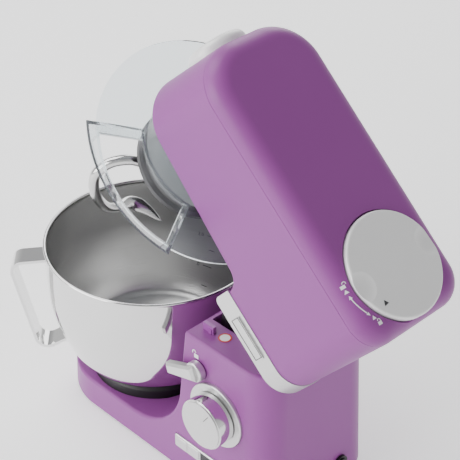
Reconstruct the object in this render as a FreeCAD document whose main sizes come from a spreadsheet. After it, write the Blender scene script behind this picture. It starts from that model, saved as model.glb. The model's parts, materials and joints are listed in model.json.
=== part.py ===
"""A tilt-head stand mixer, built piece by piece as a parametric document.

The machine stands on z = 0 with its bowl towards +X. Everything is drawn about the bowl's own axis
(x = 0, y = 0); the last step moves the whole machine so that the origin is the middle of its
footprint. Head pieces are drawn with the head closed and then swung open about the hinge pin.
"""
import FreeCAD, Part
import math
import os
from FreeCAD import Placement, Rotation, Vector

SIZES = {
    # base and column
    "ground_gap": 4, "base_top": 35, "base_half_width": 76, "nose_centre": 14, "casing_wall": 3,
    "column_front": 122, "column_rear": 232, "column_half_width": 71, "column_top": 179,
    "column_rear_radius": 28, "column_front_slope": 5, "sweep_radius": 72,
    "casing_edge_radius": 3, "plate_thickness": 2, "foot_radius": 11, "foot_pad": 3,
    "hatch_front": 127, "hatch_rear": 228, "hatch_half_width": 39,
    # bowl and its seat
    "bowl_radius": 110, "bowl_rim": 189, "bowl_wall": 1.2, "rim_bead": 1.6, "bowl_belly": 125,
    "bowl_foot_radius": 58, "bowl_bottom": 50, "seat_radius": 68.5, "seat_top": 48,
    "handle_angle": 46, "handle_reach": 147, "handle_width": 24, "handle_gauge": 3.2, "fit_gap": 0.3,
    # hinge and head
    "hinge_back": 223.6, "hinge_level": 155.6, "pin_radius": 3, "pin_clearance": 0.05, "tilt": 41.6,
    "head_bottom": 181, "head_top": 335.5, "head_rear": 233, "head_front_low": 71,
    "head_front_high": 56, "head_half_low": 71, "head_half_high": 62.5, "head_rear_radius": 28,
    "head_front_radius": 46, "head_top_radius": 18, "head_wall": 2.6, "parting": 318,
    "parting_gap": 0.4, "chin_low": 221, "chin_high": 238, "step_x": 124.5, "step_radius": 16,
    "trim_top": 204, "trim_proud": 0.8, "trim_gauge": 2.2,
    # top and front outlets
    "dial_back": 179, "dial_radius": 49, "dial_proud": 4, "dial_gap": 1.6,
    "outlet_radius": 29, "outlet_height": 284, "outlet_proud": 9,
    # planetary drive
    "hub_radius": 54, "hub_lip_radius": 57, "hub_bottom": 160, "hub_top": 211, "orbit": 30,
    "orbit_angle": 62, "ring_teeth": 45, "planet_teeth": 15, "gear_module": 2, "collar_margin": 11,
    "belt_level": 297, "large_pulley_radius": 45, "small_pulley_radius": 9, "motor_back": 168,
    "motor_radius": 38, "shaft_radius": 5,
    # splash guard and chute
    "guard_radius": 112, "guard_level": 191, "guard_gauge": 2.5, "chute_inner": 64,
    "chute_outer": 119, "chute_half_angle": 32, "chute_wall": 3, "chute_rise": 22,
    # controls on the column's left side
    "knob_back": 168, "knob_level": 105, "knob_radius": 26.5, "knob_height": 17,
    "escutcheon_radius": 34.5, "lever_back": 143, "lever_level": 146, "lever_reach": 36,
    "escutcheon_sunk": 1.1143, "lever_gap": 0.8571,
    "strip_front": 111, "strip_bottom": 31, "strip_height": 15.5, "strip_length": 114,
    "button_length": 14.5,
}

doc = FreeCAD.newDocument("StandMixer")
sheet = doc.addObject("Spreadsheet::Sheet", "Sizes")
for row, (alias, value) in enumerate(SIZES.items(), start=1):
    sheet.set("A%d" % row, alias.replace("_", " "))
    sheet.set("B%d" % row, str(value))
    sheet.setAlias("B%d" % row, alias)
doc.recompute()

sub_parts = []
FIXED = "fixed"
HEAD = "head"


def size(alias):
    """A driving dimension, read from the sheet."""
    return float(sheet.get(alias))


HINGE = Vector(-size("hinge_back"), 0, size("hinge_level"))
SWING = Placement(Vector(), Rotation(Vector(0, -1, 0), size("tilt")), HINGE)


# ------------------------------------------------------------------ drawing helpers
def sub_part(label, thing, group=FIXED):
    """Name a finished piece and note which moving group it belongs to."""
    thing.Label = label
    sub_parts.append((thing, group))
    return thing


def shaped(label, shape, group=FIXED):
    """A piece whose form comes straight from a computed shape."""
    feature = doc.addObject("Part::Feature", label)
    feature.Shape = shape
    return sub_part(label, feature, group)


def bound(thing, **expressions):
    """Tie a feature's properties to the sheet; __ in a name stands for a dot."""
    for name, expression in expressions.items():
        thing.setExpression(name.replace("__", "."), expression)
    return thing


def cylinder(name, radius, height, x="0", y="0", z="0", side=False):
    """A cylinder bound to the sheet, upright or with its axis along +Y."""
    thing = doc.addObject("Part::Cylinder", name)
    if side:
        thing.Placement = Placement(Vector(), Rotation(Vector(1, 0, 0), -90))
    return bound(thing, Radius=radius, Height=height, Placement__Base__x=x, Placement__Base__y=y,
                 Placement__Base__z=z)


def box(name, length, width, height, x, y, z):
    """A box bound to the sheet, placed by its lowest corner."""
    thing = doc.addObject("Part::Box", name)
    return bound(thing, Length=length, Width=width, Height=height, Placement__Base__x=x,
                 Placement__Base__y=y, Placement__Base__z=z)


def cut(name, base, tool):
    thing = doc.addObject("Part::Cut", name)
    thing.Base, thing.Tool = base, tool
    return thing


def fused(name, *things):
    thing = doc.addObject("Part::MultiFuse", name)
    thing.Shapes = list(things)
    return thing


def rounded(name, base, radius, pick):
    """Round the edges of a feature that pick(edge) chooses."""
    doc.recompute()
    thing = doc.addObject("Part::Fillet", name)
    thing.Base = base
    thing.Edges = [(i, radius, radius) for i, edge in enumerate(base.Shape.Edges, 1) if pick(edge)]
    return thing


def is_rim(edge):
    """True of the round edge at either end of a rod."""
    return edge.isClosed() and edge.Curve.TypeId == "Part::GeomCircle"


def face_of(points, arcs=()):
    """A flat face round the points; arcs maps a side's number to its middle point."""
    edges = []
    for i, start in enumerate(points):
        end = points[(i + 1) % len(points)]
        middle = dict(arcs).get(i)
        curve = Part.Arc(start, middle, end) if middle else Part.LineSegment(start, end)
        edges.append(curve.toShape())
    return Part.Face(Part.Wire(edges))


def prism(points, along, arcs=()):
    return face_of(points, arcs).extrude(along)


def revolved(profile, arcs=()):
    """Turn an (r, z) outline about the upright axis."""
    points = [Vector(r, 0, z) for r, z in profile]
    middles = {i: Vector(r, 0, z) for i, (r, z) in dict(arcs).items()}
    return face_of(points, middles).revolve(Vector(), Vector(0, 0, 1), 360)


def tube(outer, inner, bottom, top, x=0, y=0):
    shell = Part.makeCylinder(outer, top - bottom, Vector(x, y, bottom))
    return shell.cut(Part.makeCylinder(inner, top - bottom, Vector(x, y, bottom)))


def plan_wire(rear, front, half, rear_radius, front_radius, level):
    """A rounded plan outline: rear and front are X, half is the half width."""
    corners = ((front, half, front_radius, 0), (rear, half, rear_radius, 90),
               (rear, -half, rear_radius, 180), (front, -half, front_radius, 270))
    edges, ends = [], []
    for x, y, radius, turn in corners:
        centre = Vector(x - math.copysign(radius, x - (rear + front) / 2), y - math.copysign(radius, y), level)
        spots = [centre + Vector(radius * math.cos(math.radians(turn + step)),
                                 radius * math.sin(math.radians(turn + step)), 0) for step in (0, 45, 90)]
        edges.append(Part.Arc(*spots).toShape())
        ends.append((spots[0], spots[2]))
    wire = []
    for i, arc in enumerate(edges):
        wire.append(arc)
        wire.append(Part.LineSegment(ends[i][1], ends[(i + 1) % 4][0]).toShape())
    return Part.Wire(wire)


def ruled(low, high):
    return Part.makeLoft([low, high], True, True)


def polar(radius, degrees, level=0.0):
    return Vector(radius * math.cos(math.radians(degrees)), radius * math.sin(math.radians(degrees)), level)


def slab(x0, x1, y0, y1, z0, z1):
    return Part.makeBox(x1 - x0, y1 - y0, z1 - z0, Vector(x0, y0, z0))


def padded_disc(name, radius, height, x="0", y="0", level="0", plane="XY_Plane"):
    """A PartDesign body: one circle sketched on a plane of the body and padded."""
    body = doc.addObject("PartDesign::Body", name)
    support = [f for f in body.Origin.OriginFeatures if f.Role == plane][0]
    sketch = body.newObject("Sketcher::SketchObject", name + "_sketch")
    sketch.AttachmentSupport = [(support, "")]
    sketch.MapMode = "FlatFace"
    sketch.addGeometry(Part.Circle(Vector(1, 1, 0), Vector(0, 0, 1), 5), False)
    import Sketcher
    for kind, value, expression in (("Radius", 5, radius), ("DistanceX", 1, x), ("DistanceY", 1, y)):
        place = (0,) if kind == "Radius" else (-1, 1, 0, 3)
        number = sketch.addConstraint(Sketcher.Constraint(kind, *place, value))
        sketch.setExpression("Constraints[%d]" % number, expression)
    sketch.setExpression("AttachmentOffset.Base.z", level)
    pad = body.newObject("PartDesign::Pad", name + "_pad")
    pad.Profile = sketch
    pad.setExpression("Length", height)
    body.Tip = pad
    return body


def round_body_edge(body, radius, pick):
    """Fillet the tip of a body along the edges that pick(edge) chooses."""
    doc.recompute()
    base = body.Tip
    names = ["Edge%d" % i for i, edge in enumerate(base.Shape.Edges, 1) if pick(edge)]
    fillet = body.newObject("PartDesign::Fillet", body.Name + "_round")
    fillet.Base = (base, names)
    fillet.setExpression("Radius", radius)
    body.Tip = fillet
    return body


def rounded_path(points, radius):
    """Straight runs joined by arcs of one radius at every inner point."""
    edges, start = [], points[0]
    for before, corner, after in zip(points, points[1:], points[2:]):
        back, ahead = (before - corner).normalize(), (after - corner).normalize()
        half = back.getAngle(ahead) / 2
        reach = radius / math.tan(half)
        centre = corner + (back + ahead).normalize() * (radius / math.sin(half))
        first, last = corner + back * reach, corner + ahead * reach
        middle = centre + (corner - centre).normalize() * radius
        edges += [Part.LineSegment(start, first).toShape(), Part.Arc(first, middle, last).toShape()]
        start = last
    edges.append(Part.LineSegment(start, points[-1]).toShape())
    return Part.Wire(edges)


# ------------------------------------------------------------------ base and column
def casing_rise(level):
    """How far up the casing a level is, from 0 at the foot to 1 at the column's top."""
    return (level - size("ground_gap")) / (size("column_top") - size("ground_gap"))


def casing_half(level):
    """Half the casing's width at a level."""
    return size("base_half_width") + casing_rise(level) * (size("column_half_width") - size("base_half_width"))


def casing_plan(inset, level):
    """Plan outline of the base at a level: the column's draft carries on down to the foot."""
    rise = casing_rise(level)
    half = casing_half(level) - inset
    lean = (1 - rise) * (size("base_half_width") - size("column_half_width"))
    rear = -size("column_rear") - lean + inset
    front = size("nose_centre") + half
    return plan_wire(rear, front, half, size("column_rear_radius") - inset, half - 4, level)


def casing_block(inset, bottom):
    """The outer form (inset 0) or the cavity (inset = wall) of base and column in one."""
    top, deck = size("column_top") - inset, size("base_top") - inset
    slope = math.radians(size("column_front_slope"))
    radius = size("sweep_radius") + inset
    foot_x = -size("column_front") - inset / math.cos(slope)
    lean = math.tan(slope)
    centre = Vector(foot_x + (size("column_top") - deck - radius) * lean + radius / math.cos(slope), 0, deck + radius)
    on_column = centre - Vector(math.cos(slope), 0, math.sin(slope)) * radius
    turn = math.radians(225 + size("column_front_slope") / 2)
    middle = centre + Vector(math.cos(turn), 0, math.sin(turn)) * radius
    reach, depth = size("column_rear") + 60, 2 * size("base_half_width") + 40
    outline = [Vector(-reach, 0, bottom), Vector(reach, 0, bottom), Vector(reach, 0, deck),
               Vector(centre.x, 0, deck), on_column,
               Vector(foot_x + (size("column_top") - top) * lean, 0, top), Vector(-reach, 0, top)]
    side = prism([p - Vector(0, depth / 2, 0) for p in outline], Vector(0, depth, 0),
                 {3: middle - Vector(0, depth / 2, 0)})
    plan = ruled(casing_plan(inset, bottom), casing_plan(inset, size("column_top")))
    return side.common(plan)


def side_hole(radius, back, level, y0=50.0, y1=90.0):
    return Part.makeCylinder(radius, y1 - y0, Vector(-back, y0, level), Vector(0, 1, 0))


SCREW_SPOTS = [(50, 40), (50, -40), (-200, 69), (-200, -69)]


def make_casing():
    gap, wall = size("ground_gap"), size("casing_wall")
    outer = casing_block(0, gap)
    deck, top = size("base_top"), size("column_top")

    def crisp(edge):
        """The deck's and column's outer corners, but not smooth seams, the foot or the rear corners."""
        span = edge.BoundBox
        rear = span.XMax < -size("column_front") - 5 and span.ZMin < top - 1
        seam = span.YLength > 2 * size("column_half_width") - 20 and span.ZMax < top - 1
        return span.ZMin > gap + 1 and not rear and not seam

    outer = outer.makeFillet(size("casing_edge_radius"), [e for e in outer.Edges if crisp(e)])
    well = Part.makeCylinder(size("seat_radius") + 2, 60, Vector(0, 0, deck))
    floor = Part.makeCylinder(size("seat_radius") + 2 + wall, 60, Vector(0, 0, deck - wall))
    shell = outer.cut(well).cut(casing_block(wall, gap - 1).cut(floor))
    shell = shell.cut(slab(-size("hatch_rear"), -size("hatch_front"), -size("hatch_half_width"),
                           size("hatch_half_width"), top - 2 * wall, top + 1))
    bosses = [Part.makeCylinder(5, deck - gap - wall, Vector(x, y, gap + size("plate_thickness") + 0.5))
              .cut(Part.makeCylinder(1.6, deck, Vector(x, y, 0))) for x, y in SCREW_SPOTS]
    ribs = Part.makeCompound(bosses).common(casing_block(wall / 2, gap - 1))
    shell = shell.fuse(ribs.Solids).removeSplitter()
    flat = size("column_half_width") + 1
    shell = shell.cut(side_hole(size("escutcheon_radius") + size("fit_gap"), size("knob_back"), size("knob_level"), flat))
    shell = shell.cut(side_hole(5, size("knob_back"), size("knob_level")))
    shell = shell.cut(side_hole(3.4, size("lever_back"), size("lever_level")))
    front, low = -size("strip_front"), size("strip_bottom")
    rear, high = front - size("strip_length"), low + size("strip_height")
    pocket = slab(rear - 0.2, front + 0.2, 73.6, 90, low - 0.2, high + 0.2)
    window = slab(rear + 2, front - 2, 60, 90, low + 1.6, high - 1.6)
    shell = shell.cut(pocket).cut(window)
    gland = Part.makeCylinder(6.2, 30, Vector(-size("column_rear") - 20, -30, 22), Vector(1, 0, 0))
    return shell.cut(gland)


shaped("base_casing", make_casing())


def make_bottom_plate():
    gap, inset = size("ground_gap"), size("casing_wall") + size("fit_gap")
    plate = Part.Face(casing_plan(inset, gap)).extrude(Vector(0, 0, size("plate_thickness")))
    for x, y in SCREW_SPOTS:
        plate = plate.cut(Part.makeCylinder(1.8, 20, Vector(x, y, 0)))
    for x in range(-190, -130, 12):
        plate = plate.cut(slab(x, x + 5, -30, 30, 0, 20))
    return plate


shaped("bottom_plate", make_bottom_plate())

FOOT_SPOTS = [(60, 0), (-20, 58), (-20, -58), (-212, 50), (-212, -50)]


def make_feet():
    """Suction feet: a soft skirt under a narrower neck that meets the bottom plate."""
    radius, pad, gap = size("foot_radius"), size("foot_pad"), size("ground_gap")
    foot = revolved([(0, pad * 0.4), (radius * 0.8, pad * 0.2), (radius * 0.9, 0), (radius, 0),
                     (radius * 0.85, pad), (radius * 0.5, pad + 0.2), (radius * 0.5, gap), (0, gap)])
    return Part.makeCompound([foot.translated(Vector(x, y, 0)) for x, y in FOOT_SPOTS])


shaped("rubber_feet", make_feet())


def make_base_screws():
    gap = size("ground_gap")
    screw = Part.makeCylinder(3, 1.4, Vector(0, 0, gap - 1.4)).fuse(Part.makeCylinder(1.5, 14, Vector(0, 0, gap - 1)))
    return Part.makeCompound([screw.removeSplitter().translated(Vector(x, y, 0)) for x, y in SCREW_SPOTS])


shaped("base_screws", make_base_screws())

# ------------------------------------------------------------------ bowl seat, bowl and handle
LUG_TURNS = (0, 120, 240)


def lug(inner, outer, bottom, top, start, sweep):
    """A short arc-shaped lug about the bowl axis."""
    face = face_of([Vector(inner, 0, bottom), Vector(outer, 0, bottom), Vector(outer, 0, top), Vector(inner, 0, top)])
    solid = face.revolve(Vector(), Vector(0, 0, 1), sweep)
    return solid.rotated(Vector(), Vector(0, 0, 1), start)


def make_seat():
    outer, top, deck = size("seat_radius"), size("seat_top"), size("base_top")
    inner = size("bowl_foot_radius") + 2.5
    ring = revolved([(0, deck), (outer, deck), (outer, top - 3), (outer - 2.5, top), (inner, top),
                     (inner, deck + 3), (0, deck + 3)])
    lugs = [lug(inner - 2.2, inner + 0.5, top - 3.6, top, turn, 22) for turn in LUG_TURNS]
    return ring.fuse(lugs).removeSplitter()


shaped("bowl_seat", make_seat())


def make_bowl():
    radius, rim, wall, low = size("bowl_radius"), size("bowl_rim"), size("bowl_wall"), size("bowl_bottom")
    bead, belly, root = size("rim_bead"), size("bowl_belly"), size("bowl_foot_radius") + 7
    waist = (root + (radius - root) * 0.75, low + (belly - low) * 0.35)
    outline = [(0, low), (root, low), (radius, belly), (radius, rim - bead), (radius - wall, rim - bead),
               (radius - wall, belly), (root, low + wall), (0, low + wall)]
    shell = revolved(outline, {1: waist, 5: (waist[0] - 1.0, waist[1] + 0.9)})
    roll = Part.makeTorus(radius - wall / 2 + bead * 0.4, bead, Vector(0, 0, rim - bead))
    dome = Part.makeSphere(40, Vector(0, 0, low - 36.5)).common(Part.makeCylinder(30, 6, Vector(0, 0, low + wall / 2)))
    return shell.fuse([roll, dome]).removeSplitter()


def make_bowl_foot():
    outer, low, deck = size("bowl_foot_radius"), size("bowl_bottom"), size("base_top") + 3 + size("fit_gap")
    ring = tube(outer, outer - 3, deck, low)
    lugs = [lug(outer - 0.5, outer + 2.1, deck + 1, size("seat_top") - 4.2, turn, 22) for turn in LUG_TURNS]
    return ring.fuse(lugs).removeSplitter()


shaped("mixing_bowl", make_bowl(), "bowl")
shaped("bowl_foot", make_bowl_foot(), "bowl")


def make_handle():
    """A flat strip bent into a loop and fixed to the bowl's wall at both ends."""
    reach, width, gauge, radius = (size(a) for a in ("handle_reach", "handle_width", "handle_gauge", "bowl_radius"))
    points = [Vector(radius - 1, 0, 170), Vector(reach, 0, 166), Vector(reach - 25, 0, 53), Vector(radius - 18, 0, 70)]
    path = rounded_path(points, 12)
    start = points[0]
    section = Part.makePolygon([start + Vector(0, y, z) for y, z in (
        (-width / 2, -gauge / 2), (width / 2, -gauge / 2), (width / 2, gauge / 2), (-width / 2, gauge / 2),
        (-width / 2, -gauge / 2))])
    strip = path.makePipeShell([section], True, False)
    strip = strip.cut(make_bowl_core())
    return strip.rotated(Vector(), Vector(0, 0, 1), size("handle_angle"))


def make_bowl_core():
    """The space inside the bowl's outer skin."""
    radius, low, belly, root = size("bowl_radius"), size("bowl_bottom"), size("bowl_belly"), size("bowl_foot_radius") + 7
    waist = (root + (radius - root) * 0.75, low + (belly - low) * 0.35)
    return revolved([(0, low), (root, low), (radius, belly), (radius, size("bowl_rim")), (0, size("bowl_rim"))], {1: waist})


shaped("bowl_handle", make_handle(), "bowl")

# ------------------------------------------------------------------ hinge
def make_hinge_bracket():
    back, level, radius = size("hinge_back"), size("hinge_level"), size("pin_radius")
    y0, rear = size("hatch_half_width"), -size("column_rear") + size("casing_wall") + 0.2
    lugs = []
    for side in (1, -1):
        a, b = sorted((side * (y0 + 0.5), side * (y0 + 5)))
        plate = slab(rear, -back + 7, a, b, level - 9, level + 6)
        lugs.append(plate)
    web = slab(rear, rear + 2.2, -y0 - 5, y0 + 5, level - 24, level - 9)
    bracket = web.fuse(lugs)
    for side in (1, -1):
        a, b = sorted((side * (y0 + 0.5), side * (y0 + 5)))
        bracket = bracket.fuse(slab(rear, rear + 2.2, a, b, level - 24, level - 8))
    bore = Part.makeCylinder(radius, 2 * y0 + 20, Vector(-back, -y0 - 10, level), Vector(0, 1, 0))
    return bracket.cut(bore).removeSplitter()


shaped("hinge_bracket", make_hinge_bracket())
pin_rod = cylinder("hinge_pin_rod", "Sizes.pin_radius", "2 * Sizes.hatch_half_width + 12",
                   "-Sizes.hinge_back", "-Sizes.hatch_half_width - 6", "Sizes.hinge_level", side=True)
sub_part("hinge_pin", rounded("hinge_pin_rounded", pin_rod, 0.5, is_rim))


def make_hinge_arms():
    """Two steel arms from the pin up to a flange under the head's floor plate."""
    back, level, floor = size("hinge_back"), size("hinge_level"), size("head_bottom") + 1.5
    outer = size("hatch_half_width") - 1
    arms = []
    for side in (1, -1):
        a, b = sorted((side * (outer - 4), side * outer))
        eye = Part.makeCylinder(4.6, 4, Vector(-back, a, level), Vector(0, 1, 0))
        bar = prism([Vector(-back - 3.2, a, level + 3.2), Vector(-back + 3.2, a, level - 3.2),
                     Vector(-back + 34, a, floor - 2), Vector(-back + 34, a, floor), Vector(-back + 20, a, floor)],
                    Vector(0, 4, 0))
        c, d = sorted((side * (outer - 14), side * outer))
        flange = slab(-back + 20, -back + 60, c, d, floor - 2.2, floor)
        arm = eye.fuse([bar, flange]).removeSplitter()
        arms.append(arm.cut(Part.makeCylinder(size("pin_radius") + size("pin_clearance"), 20,
                                              Vector(-back, a - 5, level), Vector(0, 1, 0))))
    return Part.makeCompound(arms)


def make_lock_sectors():
    """Curved steel arms about the hinge that hold the head open or shut at the release latch."""
    outer, inner, floor = 96, 85, size("head_bottom") + 1.5
    arms = []
    for side in (1, -1):
        a, b = sorted((side * 26, side * 29.5))
        disc = Part.makeCylinder(outer, b - a, HINGE + Vector(0, a, 0), Vector(0, 1, 0))
        disc = disc.cut(Part.makeCylinder(inner, b - a, HINGE + Vector(0, a, 0), Vector(0, 1, 0)))
        swing = math.radians(34)
        wedge = prism([HINGE + Vector(0, a, 0), HINGE + Vector(200 * math.cos(swing), a, -200 * math.sin(swing)),
                       HINGE + Vector(200, a, floor - HINGE.z), HINGE + Vector(0, a, floor - HINGE.z)],
                      Vector(0, b - a, 0))
        arms.append(disc.common(wedge))
    return Part.makeCompound(arms)


shaped("hinge_arms", make_hinge_arms(), HEAD)
shaped("lock_sectors", make_lock_sectors(), HEAD)

# ------------------------------------------------------------------ head shells
def head_block(inset, bottom, top):
    """The head's tapering outer form between two levels, drawn in by inset."""
    span = size("head_top") - size("head_bottom")
    wires = []
    for level in (bottom, top):
        rise = (level - size("head_bottom")) / span
        half = size("head_half_low") + rise * (size("head_half_high") - size("head_half_low")) - inset
        front = size("head_front_low") + rise * (size("head_front_high") - size("head_front_low")) - inset
        wires.append(plan_wire(-size("head_rear") + inset, front, half, size("head_rear_radius") - inset,
                               size("head_front_radius") - inset, level))
    return ruled(*wires)


def head_form(inset):
    """The head's closed outer form with its rounded top edge; inset gives the cavity."""
    top = size("head_top") - inset
    block = head_block(inset, size("head_bottom") - 4, top)
    rim = [e for e in block.Edges if e.BoundBox.ZMin > top - 0.1]
    return block.makeFillet(size("head_top_radius") - inset, rim)


def chin(inset):
    """The space below the head's overhanging front, with its rounded step."""
    step, radius = -size("step_x") - inset, size("step_radius")
    low, high, reach = size("chin_low") + inset, size("chin_high") + inset, 100
    slope = (high - low) / (reach - step)
    corner = Vector(step + radius, 0, low + radius * slope)
    middle = Vector(step + radius * 0.29, 0, low - radius * 0.71 + radius * 0.42)
    points = [Vector(step, 0, 100), Vector(step, 0, low - radius), corner, Vector(reach, 0, high), Vector(reach, 0, 100)]
    shift = Vector(0, 120, 0)
    return prism([p - shift for p in points], shift * 2, {1: middle - shift})


def trim_recess():
    top, slack = size("trim_top") + 0.2, 0.2
    inset = size("trim_gauge") - size("trim_proud") + slack
    ring = head_block(-5, size("head_bottom") - 6, top).cut(head_block(inset, size("head_bottom") - 8, top + 1))
    return ring.common(slab(-300, -size("step_x") + 40, -120, 120, 100, top))


def outlet_axis_hole(radius, start, end):
    return Part.makeCylinder(radius, end - start, Vector(start, 0, size("outlet_height")), Vector(1, 0, 0))


def collar_radius():
    """Outer radius of the clear collar, which surrounds the ring gear with room to spare."""
    return size("ring_teeth") * size("gear_module") / 2 + size("collar_margin")


def make_head_housing():
    wall, seam = size("head_wall"), size("parting")
    below = slab(-300, 200, -150, 150, 100, seam)
    shell = head_form(0).common(below).cut(chin(0))
    cavity = head_form(wall).cut(chin(wall))
    shell = shell.cut(cavity).cut(trim_recess())
    shell = shell.cut(outlet_axis_hole(size("outlet_radius") + 0.6, 30, 100))
    shell = shell.cut(slab(-300, 200, -150, 150, 100, size("head_bottom") + 1))
    return shell.cut(Part.makeCylinder(collar_radius() + 0.3, 60, Vector(0, 0, 200)))


def make_head_cover():
    wall, seam = size("head_wall"), size("parting") + size("parting_gap")
    above = slab(-300, 200, -150, 150, seam, 400)
    top, back = size("head_top"), size("dial_back")
    pad_top = top - 1
    shell = head_form(0).common(above).cut(head_form(wall))
    ring_radius = size("dial_radius") + size("dial_gap") + 4.6
    pad = Part.makeCylinder(ring_radius, pad_top - seam - 4, Vector(-back, 0, seam + 4)).common(head_form(0.8))
    well = Part.makeCylinder(size("dial_radius") + size("dial_gap"), 20, Vector(-back, 0, pad_top - 4))
    hollow = Part.makeCylinder(size("dial_radius") - 4, 20, Vector(-back, 0, seam + 2))
    return shell.fuse(pad.cut(hollow)).removeSplitter().cut(well).cut(
        Part.makeCylinder(22.3, 60, Vector(-back, 0, seam - 10)))


shaped("head_housing", make_head_housing(), HEAD)
shaped("head_cover", make_head_cover(), HEAD)


def make_trim():
    low, top, proud = size("head_bottom"), size("trim_top"), size("trim_proud")
    band = head_block(-proud, low, top).cut(head_block(size("trim_gauge") - proud, low - 1, top + 1))
    band = band.common(slab(-300, -size("step_x") + 2, -120, 120, 100, 300))
    ends = [e for e in band.Edges if e.BoundBox.YLength < 4 and e.BoundBox.XMax > -size("step_x") + 1
            and e.BoundBox.XLength < 0.2 and e.BoundBox.ZLength < 0.2 and e.BoundBox.ZMin < low + 1]
    return band.makeFillet(6, ends)


shaped("trim_band", make_trim(), HEAD)


def make_name_plate():
    proud, gauge = size("trim_proud"), 1.0
    strip = head_block(-proud - gauge, 187, 198).cut(head_block(-proud, 180, 205))
    return strip.common(slab(-191, -148, 20, 120, 180, 210))


shaped("blank_plate", make_name_plate(), HEAD)


def make_head_floor():
    floor = size("head_bottom") + 1.5
    plate = head_block(size("head_wall") + 0.4, floor, floor + 3)
    plate = plate.common(slab(-300, -size("step_x") - size("head_wall") - 0.5, -120, 120, 100, 300))
    plate = plate.cut(slab(-147, -129, 46, 60, 100, 300))
    return plate.cut(slab(-206, -150, -20, 20, 100, 300))


shaped("head_floor", make_head_floor(), HEAD)

# ------------------------------------------------------------------ outlets on the head
dial = padded_disc("dial_body", "Sizes.dial_radius", "7.5", "-Sizes.dial_back", "0",
                   "Sizes.head_top + Sizes.dial_proud - 7.5")
round_body_edge(dial, "2.5", lambda e: e.BoundBox.ZMin > size("head_top") + size("dial_proud") - 0.1)


DIMPLE_RADIUS = 34


def dimple(name, turn):
    """A ball that presses a finger recess into the dial's edge."""
    ball = doc.addObject("Part::Sphere", name)
    ball.Radius = DIMPLE_RADIUS
    across = "(Sizes.dial_radius - 5) * %s(%g)"
    return bound(ball, Placement__Base__x="-Sizes.dial_back + " + across % ("cos", turn), Placement__Base__y=across % ("sin", turn),
                 Placement__Base__z="Sizes.head_top + Sizes.dial_proud + %g" % (DIMPLE_RADIUS - 3))


# the turning cover of the top outlet has two finger recesses at opposite edges
sub_part("outlet_dial", cut("dial_cut", dial, fused("dimples", dimple("dimple_1", 93), dimple("dimple_2", 273))), "dial")

sub_part("top_outlet_socket", cut("top_socket", cylinder("top_socket_block", "22", "Sizes.head_top - Sizes.parting - 8",
                                                        "-Sizes.dial_back", "0", "Sizes.parting - 2"),
                                  cylinder("top_socket_bore", "8", "Sizes.head_top - Sizes.parting - 4", "-Sizes.dial_back", "0",
                                           "Sizes.parting + 3")), HEAD)


def along_x(radius, start, end, level, inner=0.0):
    solid = Part.makeCylinder(radius, end - start, Vector(start, 0, level), Vector(1, 0, 0))
    return solid.cut(Part.makeCylinder(inner, end - start, Vector(start, 0, level), Vector(1, 0, 0))) if inner else solid


def outlet_face():
    """How far forward the head's front stands at the outlet's level."""
    rise = (size("outlet_height") - size("head_bottom")) / (size("head_top") - size("head_bottom"))
    return size("head_front_low") + rise * (size("head_front_high") - size("head_front_low"))


def make_front_outlet_cover():
    radius, level, proud = size("outlet_radius"), size("outlet_height"), size("outlet_proud")
    face = outlet_face()
    cap = along_x(radius, face - 6, face + proud, level)
    rim = [e for e in cap.Edges if e.BoundBox.XMin > face + proud - 0.1]
    return cap.makeFillet(proud - 1, rim).cut(along_x(radius - 3, face - 7, face - 2, level))


shaped("front_outlet_cover", make_front_outlet_cover(), HEAD)
shaped("front_outlet_socket", along_x(15, outlet_face() - 12, outlet_face() - 2, size("outlet_height"), 7), HEAD)


# ------------------------------------------------------------------ planetary drive
def gear_outline(teeth, module, inward=False, start=0.0):
    """Straight-flanked teeth, a little thinner than half the pitch so that they run free."""
    pitch = teeth * module / 2
    step = 2 * math.pi / teeth
    tip, root = (pitch - 0.8 * module, pitch + 1.25 * module) if inward else (pitch + 0.8 * module, pitch - 1.25 * module)
    stations = ((root, -0.27), (tip, -0.11), (tip, 0.11), (root, 0.27))
    points = []
    for tooth in range(teeth):
        middle = math.radians(start) + tooth * step
        points += [Vector(r * math.cos(middle + share * step), r * math.sin(middle + share * step), 0)
                   for r, share in stations]
    return Part.Face(Part.makePolygon(points + points[:1]))


RING_BOTTOM, RING_TOP = 216, 226


def make_ring_gear():
    teeth, module = int(size("ring_teeth")), size("gear_module")
    half_pitch = 180 / teeth
    bore = gear_outline(teeth, module, True, size("orbit_angle") + half_pitch)
    blank = Part.makeCylinder(teeth * module / 2 + 6, RING_TOP - RING_BOTTOM, Vector(0, 0, RING_BOTTOM))
    return blank.cut(bore.translated(Vector(0, 0, RING_BOTTOM - 1)).extrude(Vector(0, 0, RING_TOP - RING_BOTTOM + 2)))


ORBIT = polar(size("orbit"), size("orbit_angle"))


def make_planet_pinion():
    face = gear_outline(int(size("planet_teeth")), size("gear_module"), False, size("orbit_angle"))
    gear = face.translated(Vector(0, 0, RING_BOTTOM + 1)).extrude(Vector(0, 0, RING_TOP - RING_BOTTOM - 2))
    return gear.cut(Part.makeCylinder(size("shaft_radius"), 40, Vector(0, 0, 200))).translated(ORBIT)


COLLAR_BOTTOM = size("hub_top") + 2
shaped("drive_collar", tube(collar_radius(), collar_radius() - 3, COLLAR_BOTTOM, size("chin_high") + 4), HEAD)
shaped("ring_gear", make_ring_gear(), HEAD)


def make_gearbox():
    low, top = size("chin_high") + 1, 286
    block = tube(size("hub_radius") - 1.2, 14, low, low + 8).fuse([tube(24, 14, low, top), tube(42, 14, top - 6, top)])
    return block.removeSplitter()


shaped("gearbox_housing", make_gearbox(), HEAD)
shaped("shaft_bearings", Part.makeCompound([tube(14, 8.05, 241, 250), tube(14, 8.05, 275, 284)]), HEAD)


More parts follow.
